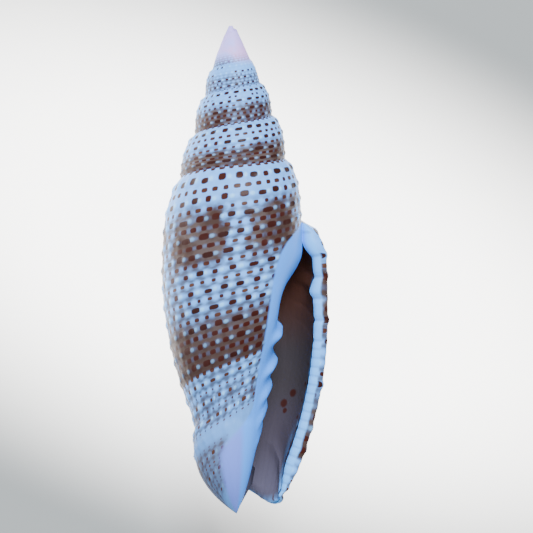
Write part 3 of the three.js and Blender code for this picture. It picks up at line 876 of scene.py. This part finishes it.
PORCELAIN = srgb(108, 174, 252)
# Porcelain darkened as painted shade, laid in the pits between beads and cords; it also darkens the plain
# ring
PORCELAIN_SHADE = srgb(74, 75, 92)
# Bead crests: the shell's white with a painted highlight
BEAD_WHITE_AND_HIGHLIGHT = srgb(140, 204, 255)
APEX_LILAC = srgb(186, 176, 255)
APEX_PINK = srgb(226, 168, 226)
TAUPE = srgb(84, 68, 65)
BROWN = srgb(60, 36, 28)
DASH = srgb(60, 16, 6)
DASH_DARK = srgb(44, 9, 3)
DASH_SOFT = srgb(92, 58, 42)
SMOOTH_BLUE = srgb(78, 154, 252)
SMOOTH_LILAC = srgb(112, 132, 222)
LIP_COLOUR = srgb(102, 180, 255)
# Painted shade in the grooves across the lip
LIP_GROOVE_SHADE = srgb(78, 116, 176)
HOLLOW_TOP_COLOUR = srgb(106, 66, 54)
HOLLOW_MIDDLE_COLOUR = srgb(72, 64, 68)
HOLLOW_LOW_COLOUR = srgb(78, 69, 80)
HOLLOW_FOOT_COLOUR = srgb(94, 87, 104)
SPOT = srgb(66, 26, 16)

# Dashes and bead spots, each spot the bead's white with a painted highlight: half lengths are shares of the
# step along a cord, half widths of the step between cords. A boost, from the clouds, makes a dash larger.
DASH_LENGTH = 0.17
DASH_LENGTH_SPREAD = 0.12
DASH_LENGTH_BOOST = 0.04
DASH_WIDTH = 0.12
DASH_WIDTH_SPREAD = 0.04
DASH_WIDTH_BOOST = 0.03
DASH_STRAY = 0.1
DASH_SQUARENESS = 3.0
DASH_RAGGED = 0.35
DASH_GRAIN = (260.0, 130.0)
WEAK_LENGTH = 0.16
WEAK_LENGTH_SPREAD = 0.14
WEAK_LENGTH_BOOST = 0.06
WEAK_WIDTH = 0.1
WEAK_WIDTH_BOOST = 0.03
WHITE_AND_HIGHLIGHT_LENGTH = 0.15
WHITE_AND_HIGHLIGHT_WIDTH = 0.13
WHITE_AND_HIGHLIGHT_SQUARENESS = 2.0
LENGTH_SEED = 0.0
WIDTH_SEED = 3.0
WEAK_SEED = 7.0

# Bands of brown cloud, as shares of a whorl's height, and their blotches along it
UPPER_BAND = (0.13, 0.2, 0.34, 0.44)
LOWER_BAND = (0.56, 0.68, 0.835, 0.85)
FOOT_BAND = (0.93, 0.98, 1.04, 1.1)
BLOTCH_TURNS = 0.2
BLOTCH_TURN = -0.855
BLOTCH_RAGGED = 2.2
CLOUD_GRAIN = (9.0, 7.0)
CLOUD_SCALE = 2.2
CLOUD_WANDER = 0.16
PATCHES_SCALE = 0.8
BROWN_GRAIN = 24.0
BROWN_SCALE = 0.6
BROWN_AMOUNT = 0.85

# The plain ring below the last cords, and the dotted patch on the siphonal end
PLAIN_SHARE = 1.09
PATCH_SHARES = (1.13, 1.17, 1.34, 1.4)
PATCH_TURN = -0.71
PATCH_EDGE = 0.02
PATCH_TAUPE = 0.6

# Painted shade of the lattice, and how clouds and the patch mute the bead spots
LATTICE_CORD = 0.6
LATTICE_BEAD = 0.5
MOTTLING = 2.0
MOTTLING_SCALE = 260.0
FAINT_LOSS = 1.3
FAINT_SOFTNESS = 0.6
BEAD_STRENGTH = 0.95
CLOUD_MUTING = 0.6
PATCH_MUTING = 0.75

# Ramps: from one place to another, and where given, from one amount to another
DASH_EDGE = (0.55, 1.35, 1.0, 0.0)
WHITE_AND_HIGHLIGHT_EDGE = (0.0, 1.4, 1.0, 0.0)
UNBROKEN_CLOUD = (-1.45, -1.3, 0.85, 0.0)
BLOTCH_EDGE = (-0.95, -0.35)
LOWER_PATCHES = (0.3, 0.5, 0.6, 1.0)
FOOT_PATCHES = (-0.1, 0.15, 0.0, 0.6)
EARLY_CLOUDS = (-4.0, -2.4, 0.15, 1.0)
FAINT_MARKS = (0.84, 0.9)
SHOULDER_BOOST = (0.1, 0.18, 0.6, 0.0)
ON_WEAK_CORD = (0.2, 0.3)
PIT_SHADE = (-1.0, 1.0, 0.9, 0.0)
SHOULDER_SHADE = (0.08, 0.2, 0.15, 1.0)
RING_SHADE = (1.0, 1.1, 0.0, 0.36)
CLOUD_ON_CRESTS = (-0.2, 1.1, 1.0, 0.8)
BROWN_EDGE = (0.42, 0.6)
BROWN_BAND = (0.6, 0.8, 0.0, 0.85)
WEAK_START_DEPTH = (4.5, 11.0)
DASH_START_DEPTH = (3.4, 8.0)
PINK_EDGE = (0.42, 0.58)
PINK_DEPTH = (1.0, 4.5, 0.3, 1.0)
APEX_END_DEPTH = (3.0, 5.2, 1.0, 0.0)
WIDE_SHADE_LINE = (0.0, 0.12, 0.5, 0.0)
FINE_SHADE_LINE = (0.0, 0.25, 0.4, 0.0)
LILAC_TURN = (-0.8, -0.76)
LILAC_DEPTH = (46.0, 51.0)
HOLLOW_MIDDLE_DEPTH = (31.0, 41.0)
HOLLOW_LOW_DEPTH = (43.0, 50.0)
HOLLOW_FOOT_DEPTH = (50.0, 58.0)
PALE_TOE_TURN = (-0.06, -0.01)
PALE_TOE_DEPTH = (48.0, 54.0, 0.0, 0.85)
SMOOTH_ZONE = (0.1, 0.9)
RIM_ZONE = (0.38, 0.5)
INSIDE_ZONE = (0.05, 0.7)

# Brown spots inside the last whorl: turn, depth, radius
HOLLOW_RADIUS = 7.0
SPOT_AMOUNT = 0.85
SPOT_CORE = 0.7
SPOT_REACH = 1.2
SPOTS = (
    (-0.087, 45.3, 0.5),
    (-0.113, 46.6, 0.55),
    (-0.104, 47.5, 0.35),
    (-0.035, 41.6, 0.22),
    (-0.032, 44.1, 0.28),
    (-0.033, 46.1, 0.22),
    (-0.036, 48.2, 0.25),
)

# Finish, and fine growth lines as a bump
FINISH = {"Roughness": 0.48, "Specular IOR Level": 0.16, "Coat Weight": 0.03, "Coat Roughness": 0.2}
LINES_GRAIN = (90.0, 4.0)
LINES_STRENGTH = 0.2
LINES_HEIGHT = 0.2 * MM


def window(n, value, rise, full, fade, end):
    """1 between full and fade, 0 outside rise and end."""
    return n.times(n.ramp(value, rise, full), n.ramp(value, fade, end, 1.0, 0.0))


def mark_reach(n, along, across, half_length, half_width, squareness):
    """Distance from the middle of a mark: 1 at the end of its length or its width."""
    length = n.math("POWER", n.math("DIVIDE", n.math("ABSOLUTE", along), half_length), squareness)
    width = n.math("POWER", n.math("DIVIDE", n.math("ABSOLUTE", across), half_width), squareness)
    return n.plus(length, width)


def dash_mask(n, along, across, half_length, half_width, ragged):
    """A dash with rounded corners and an uneven edge: 1 inside, 0 outside."""
    reach = mark_reach(n, along, across, half_length, half_width, DASH_SQUARENESS)
    return n.ramp(n.plus(reach, ragged), *DASH_EDGE)


def bead_white_and_highlight_mask(n, along, across):
    """A soft spot on the crest of a bead: its white, with a painted highlight."""
    return n.ramp(mark_reach(n, along, across, WHITE_AND_HIGHLIGHT_LENGTH, WHITE_AND_HIGHLIGHT_WIDTH, WHITE_AND_HIGHLIGHT_SQUARENESS), *WHITE_AND_HIGHLIGHT_EDGE)


def from_middle(n, phase):
    return n.minus(n.math("FRACT", phase), 0.5)


def wave(n, phase):
    """1 in the middle of each step of the phase, -1 at its ends."""
    return n.math("COSINE", n.times(from_middle(n, phase), 2 * math.pi))


def strong_dashes(n, turn, place, cord, boost, ragged):
    """Dashes and bead spots, white with a painted highlight, along the strong cords."""
    phase = n.scaled(turn, float(BEADS_PER_TURN), n.times(cord, CORD_SHIFT))
    angle = n.scaled(turn, BEAD_WOBBLE_RATE, n.times(cord, BEAD_WOBBLE_SHIFT))
    phase = n.scaled(n.math("SINE", angle), BEAD_WOBBLE, phase)
    dash_phase = n.plus(phase, DASH_AFTER_BEAD)
    number = n.math("FLOOR", dash_phase)
    chance = n.random(n.combine(number, cord, LENGTH_SEED))
    other = n.random(n.combine(number, cord, WIDTH_SEED))
    half_length = n.plus(n.scaled(chance, DASH_LENGTH_SPREAD, DASH_LENGTH), n.times(boost, DASH_LENGTH_BOOST))
    half_width = n.plus(n.scaled(other, DASH_WIDTH_SPREAD, DASH_WIDTH), n.times(boost, DASH_WIDTH_BOOST))
    across = n.minus(n.minus(place, cord), 0.5)
    shifted = n.plus(across, n.scaled(other, DASH_STRAY, -DASH_STRAY / 2))
    dash = dash_mask(n, from_middle(n, dash_phase), shifted, half_length, half_width, ragged)
    return dash, bead_white_and_highlight_mask(n, from_middle(n, phase), across), wave(n, phase), chance


def weak_dashes(n, turn, place, boost, ragged):
    """Smaller dashes on the weak cords between the strong ones."""
    row = n.math("ROUND", place)
    phase = n.scaled(turn, float(WEAK_DASHES_PER_TURN), n.times(row, WEAK_SHIFT))
    chance = n.random(n.combine(n.math("FLOOR", phase), row, WEAK_SEED))
    half_length = n.plus(n.scaled(chance, WEAK_LENGTH_SPREAD, WEAK_LENGTH), n.times(boost, WEAK_LENGTH_BOOST))
    half_width = n.scaled(boost, WEAK_WIDTH_BOOST, WEAK_WIDTH)
    across = n.minus(place, row)
    dash = dash_mask(n, from_middle(n, phase), across, half_length, half_width, ragged)
    return dash, wave(n, phase), chance


def cloud_amount(n, turn, share):
    """Spiral bands of brown cloud, broken into slanting blotches along the whorl."""
    vector = n.combine(n.times(turn, CLOUD_GRAIN[0]), n.times(share, CLOUD_GRAIN[1]), 0.0)
    rough = n.minus(n.noise(vector, CLOUD_SCALE, 4.0), 0.5)
    wander = n.scaled(rough, CLOUD_WANDER, share)
    along = n.times(n.minus(turn, BLOTCH_TURN), 2 * math.pi / BLOTCH_TURNS)
    blotches = n.scaled(rough, BLOTCH_RAGGED, n.math("COSINE", along))
    blotches = n.larger(n.ramp(blotches, *BLOTCH_EDGE), n.ramp(turn, *UNBROKEN_CLOUD))
    upper = n.times(window(n, wander, *UPPER_BAND), blotches)
    patches = n.ramp(n.noise(vector, PATCHES_SCALE, 3.0), *LOWER_PATCHES)
    lower = n.times(window(n, share, *LOWER_BAND), patches)
    foot = n.times(window(n, wander, *FOOT_BAND), n.ramp(rough, *FOOT_PATCHES))
    return n.times(n.larger(n.larger(upper, lower), foot), n.ramp(turn, *EARLY_CLOUDS))


def patterned_area(n, turn, share):
    """1 where the cords carry dashes; 0 on the plain ring and the tip, but for the dotted patch."""
    cords = n.ramp(share, PLAIN_SHARE - PATCH_EDGE, PLAIN_SHARE + PATCH_EDGE, 1.0, 0.0)
    beside = n.ramp(turn, PATCH_TURN - PATCH_EDGE, PATCH_TURN + PATCH_EDGE)
    patch = n.times(window(n, share, *PATCH_SHARES), beside)
    return n.larger(cords, patch), patch


def lattice_height(n, place, cord, bead_wave, weak_wave):
    """High on beads and on the crests of cords, low in the pits between them, where painted shade is laid."""
    across = n.minus(n.minus(place, cord), 0.5)
    crest = n.math("COSINE", n.times(across, 4 * math.pi))
    on_weak = n.ramp(n.math("ABSOLUTE", across), *ON_WEAK_CORD)
    along = n.minus(n.times(bead_wave, n.minus(1.0, on_weak)), n.times(weak_wave, on_weak))
    return n.scaled(crest, LATTICE_CORD, n.times(along, LATTICE_BEAD))


def ground_colour(n, turn, share, place, clouds, area, patch, height):
    """Porcelain with painted shade in the pits, under clouds of taupe and brown."""
    # Painted shade in the pits of the lattice, less on the whorl's shoulder
    pits = n.times(n.ramp(height, *PIT_SHADE), n.ramp(share, *SHOULDER_SHADE))
    shade = n.larger(n.times(pits, area), n.ramp(share, *RING_SHADE))
    colour = n.blend(shade, PORCELAIN, PORCELAIN_SHADE)
    # Clouds lie thinner on the crests, so the painted shade of the lattice shows through them
    colour = n.blend(n.times(clouds, n.ramp(height, *CLOUD_ON_CRESTS)), colour, TAUPE)
    patchy = n.noise(n.combine(n.times(turn, BROWN_GRAIN), place, 0.0), BROWN_SCALE, 3.0)
    dense = n.larger(n.ramp(patchy, *BROWN_EDGE), n.ramp(share, *BROWN_BAND))
    colour = n.blend(n.times(n.times(dense, clouds), BROWN_AMOUNT), colour, BROWN)
    return n.blend(n.times(patch, PATCH_TAUPE), colour, TAUPE)


def apex_colour(n, depth, mottling):
    pink = n.times(n.ramp(mottling, *PINK_EDGE), n.ramp(depth, *PINK_DEPTH))
    return n.blend(pink, APEX_LILAC, APEX_PINK)


def outside_colour(n, turn, share, depth):
    place = n.times(share, float(CORDS))
    cord = n.math("FLOOR", place)
    grain = n.noise(n.combine(n.times(turn, DASH_GRAIN[0]), n.times(share, DASH_GRAIN[1]), 0.0), 1.0, 2.0)
    ragged = n.scaled(grain, 2 * DASH_RAGGED, -DASH_RAGGED)
    clouds = cloud_amount(n, turn, share)
    area, patch = patterned_area(n, turn, share)
    faint = n.ramp(share, *FAINT_MARKS)
    boost = n.scaled(faint, -FAINT_LOSS, n.larger(clouds, n.ramp(share, *SHOULDER_BOOST)))
    dash, bead, bead_wave, chance = strong_dashes(n, turn, place, cord, boost, ragged)
    weak, weak_wave, weak_chance = weak_dashes(n, turn, place, boost, ragged)
    mottling = n.noise(n.new("ShaderNodeTexCoord").outputs["Object"], MOTTLING_SCALE, 3.0)
    lattice = lattice_height(n, place, cord, bead_wave, weak_wave)
    # Lattice height with random mottling; it places the painted shade in the pits
    height = n.scaled(mottling, MOTTLING, n.minus(lattice, 1.0))
    colour = ground_colour(n, turn, share, place, clouds, area, patch, height)

    muted = n.larger(n.times(clouds, CLOUD_MUTING), n.times(patch, PATCH_MUTING))
    # Bead spots: white with a painted highlight on each crest
    bead_amount = n.times(bead, n.times(area, n.minus(BEAD_STRENGTH, muted)))
    colour = n.blend(bead_amount, colour, BEAD_WHITE_AND_HIGHLIGHT)
    weak = n.times(weak, n.math("LESS_THAN", weak_chance, n.ramp(depth, *WEAK_START_DEPTH)))
    weak_colour = n.blend(n.times(n.minus(1.0, boost), weak_chance), DASH, DASH_SOFT)
    colour = n.blend(n.times(weak, area), colour, weak_colour)
    dash = n.times(dash, n.math("LESS_THAN", chance, n.ramp(depth, *DASH_START_DEPTH)))
    dash_colour = n.blend(n.times(faint, FAINT_SOFTNESS), n.blend(chance, DASH, DASH_DARK), DASH_SOFT)
    colour = n.blend(n.times(dash, area), colour, dash_colour)
    return n.blend(n.ramp(depth, *APEX_END_DEPTH), colour, apex_colour(n, depth, mottling))


def lip_colour(n, share):
    """Pale lip with a painted shade line in each groove: far apart above, close below."""
    wide = n.math("ABSOLUTE", from_middle(n, n.scaled(share, float(WIDE_LOBES), 0.5 - WIDE_LOBE_SHIFT)))
    fine = n.math("ABSOLUTE", from_middle(n, n.scaled(share, float(FINE_LOBES), 0.5)))
    lower = n.ramp(share, *LOBES_CHANGE)
    # Painted shade lines along the lip's grooves
    wide_shade_line = n.times(n.ramp(wide, *WIDE_SHADE_LINE), n.minus(1.0, lower))
    fine_shade_line = n.times(n.ramp(fine, *FINE_SHADE_LINE), lower)
    return n.blend(n.plus(wide_shade_line, fine_shade_line), LIP_COLOUR, LIP_GROOVE_SHADE)


def smooth_colour(n, turn, depth):
    """The glazed strip is blue beside the aperture and lilac on the siphonal end."""
    lilac = n.times(n.ramp(turn, *LILAC_TURN), n.ramp(depth, *LILAC_DEPTH))
    return n.blend(lilac, SMOOTH_BLUE, SMOOTH_LILAC)


def inside_colour(n, turn, depth):
    """Dark brown at the top of the hollow, grey-lilac lower down, pale behind the toe of the lip."""
    colour = n.blend(n.ramp(depth, *HOLLOW_MIDDLE_DEPTH), HOLLOW_TOP_COLOUR, HOLLOW_MIDDLE_COLOUR)
    colour = n.blend(n.ramp(depth, *HOLLOW_LOW_DEPTH), colour, HOLLOW_LOW_COLOUR)
    colour = n.blend(n.ramp(depth, *HOLLOW_FOOT_DEPTH), colour, HOLLOW_FOOT_COLOUR)
    toe = n.times(n.ramp(turn, *PALE_TOE_TURN), n.ramp(depth, *PALE_TOE_DEPTH))
    colour = n.blend(toe, colour, LIP_COLOUR)
    for spot_turn, spot_depth, radius in SPOTS:
        along = n.times(n.minus(turn, spot_turn), 2 * math.pi * HOLLOW_RADIUS)
        down = n.minus(depth, spot_depth)
        reach = n.math("SQRT", n.scaled(along, along, n.times(down, down)))
        amount = n.ramp(reach, radius * SPOT_CORE, radius * SPOT_REACH, SPOT_AMOUNT, 0.0)
        colour = n.blend(amount, colour, SPOT)
    return colour


def add_growth_lines(n, turn, share):
    bump = n.new("ShaderNodeBump")
    bump.inputs["Strength"].default_value = LINES_STRENGTH
    bump.inputs["Distance"].default_value = LINES_HEIGHT
    vector = n.combine(n.times(turn, LINES_GRAIN[0]), n.times(share, LINES_GRAIN[1]), 0.0)
    n.feed(bump.inputs["Height"], n.noise(vector, 1.0, 3.0))
    n.feed(n.shader.inputs["Normal"], bump.outputs[0])


def shell_material():
    n = Nodes("mitre_shell")
    turn, share, _ = n.attribute("growth")
    smooth, inside, rim = n.attribute("zones")
    depth = n.new("ShaderNodeAttribute", attribute_name="depth").outputs["Fac"]

    colour = outside_colour(n, turn, share, depth)
    colour = n.blend(n.ramp(smooth, *SMOOTH_ZONE), colour, smooth_colour(n, turn, depth))
    colour = n.blend(n.ramp(rim, *RIM_ZONE), colour, lip_colour(n, share))
    colour = n.blend(n.ramp(inside, *INSIDE_ZONE), colour, inside_colour(n, turn, depth))
    n.feed(n.shader.inputs["Base Color"], colour)
    for name, value in FINISH.items():
        n.shader.inputs[name].default_value = value
    add_growth_lines(n, turn, share)
    return n.material


# Surroundings


# The table glows softly in a slanting oval, a painted pool of light, bright in the middle and dim at the
# edges, which gives the pale ground
FLOOR_REACH = 2.0
FLOOR_COLOUR = (0.3, 0.285, 0.27, 1.0)
FLOOR_ROUGHNESS = 0.9
GLOW_COLOUR = (1.0, 0.98, 0.95, 1.0)
GLOW_SHIFT = 0.006
GLOW_WIDE = 0.65
GLOW_NARROW = 1.4
GLOW_SLANT = 0.42
GLOW_NEAR = 0.016
GLOW_FAR = 0.057
GLOW_MIDDLE = 6.0
GLOW_EDGE = 0.05
SKY_COLOUR = (0.76, 0.9, 1.0, 1.0)
SKY_STRENGTH = 0.75

# Soft lights that face the shell: name, place, size, power, colour
LIGHTS = (
    ("key", (-0.1, 0.6, 0.85), 0.5, 23.0, (0.82, 0.93, 1.0)),
    ("fill", (-0.7, -0.2, 0.5), 0.8, 4.0, (0.8, 0.9, 1.0)),
)

# Camera: square to the aperture, as the photograph is
VIEW_DISTANCE = 0.45
PHOTO_WIDTH = 533
PIXEL_SIZE = 0.1232 * MM
FRAME_WIDTH = PHOTO_WIDTH * PIXEL_SIZE
FRAME_RIGHT_OF_SHELL = 2.95 * MM
FRAME_ABOVE_SHELL = 0.37 * MM
SENSOR_WIDTH = 36.0


def make_floor():
    corners = [(-FLOOR_REACH, -FLOOR_REACH, 0), (FLOOR_REACH, -FLOOR_REACH, 0),
               (FLOOR_REACH, FLOOR_REACH, 0), (-FLOOR_REACH, FLOOR_REACH, 0)]
    mesh = bpy.data.meshes.new("floor")
    mesh.from_pydata(corners, [], [(0, 1, 2, 3)])
    floor = bpy.data.objects.new("floor", mesh)
    bpy.context.collection.objects.link(floor)
    n = Nodes("floor")
    n.shader.inputs["Base Color"].default_value = FLOOR_COLOUR
    n.shader.inputs["Roughness"].default_value = FLOOR_ROUGHNESS
    split = n.new("ShaderNodeSeparateXYZ")
    n.tree.links.new(n.new("ShaderNodeTexCoord").outputs["Object"], split.inputs[0])
    side = n.minus(split.outputs[0], GLOW_SHIFT)
    along = n.times(side, GLOW_WIDE)
    across = n.scaled(split.outputs[1], GLOW_NARROW, n.times(side, GLOW_SLANT))
    reach = n.math("SQRT", n.scaled(across, across, n.times(along, along)))
    # Emission paints a pool of light on the table, strongest in the middle of the oval
    glow = n.ramp(reach, GLOW_NEAR, GLOW_FAR, GLOW_MIDDLE, GLOW_EDGE)
    n.shader.inputs["Emission Color"].default_value = GLOW_COLOUR
    n.feed(n.shader.inputs["Emission Strength"], glow)
    floor.data.materials.append(n.material)


def add_area_light(name, place, size, power, colour):
    light = bpy.data.lights.new(name, "AREA")
    light.shape = "SQUARE"
    light.size = size
    light.energy = power
    light.color = colour
    item = bpy.data.objects.new(name, light)
    item.location = place
    item.rotation_euler = (-Vector(place)).to_track_quat("-Z", "Y").to_euler()
    bpy.context.collection.objects.link(item)


def make_world():
    world = bpy.data.worlds.new("studio")
    world.use_nodes = True
    background = world.node_tree.nodes["Background"]
    background.inputs["Color"].default_value = SKY_COLOUR
    background.inputs["Strength"].default_value = SKY_STRENGTH
    bpy.context.scene.world = world


def make_camera():
    turn = rest_matrix().to_3x3()
    right = turn @ Vector((1, 0, 0))
    up = turn @ Vector((0, 1, 0))
    toward = turn @ Vector((0, 0, 1))
    low, high = (Vector(corner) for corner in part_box("shell"))
    middle = (low + high) / 2
    target = middle + right * FRAME_RIGHT_OF_SHELL + up * FRAME_ABOVE_SHELL
    camera = bpy.data.cameras.new("camera")
    camera.sensor_width = SENSOR_WIDTH
    camera.lens = SENSOR_WIDTH * VIEW_DISTANCE / FRAME_WIDTH
    item = bpy.data.objects.new("camera", camera)
    place = target + toward * VIEW_DISTANCE
    item.matrix_world = Matrix((
        (right.x, up.x, toward.x, place.x),
        (right.y, up.y, toward.y, place.y),
        (right.z, up.z, toward.z, place.z),
        (0, 0, 0, 1),
    ))
    bpy.context.collection.objects.link(item)
    bpy.context.scene.camera = item


make_camera()
shell_piece = build_shell()
shell_piece.data.materials.append(shell_material())
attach(shell_piece, "root")
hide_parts("shell")
make_floor()
make_world()
for light_values in LIGHTS:
    add_area_light(*light_values)
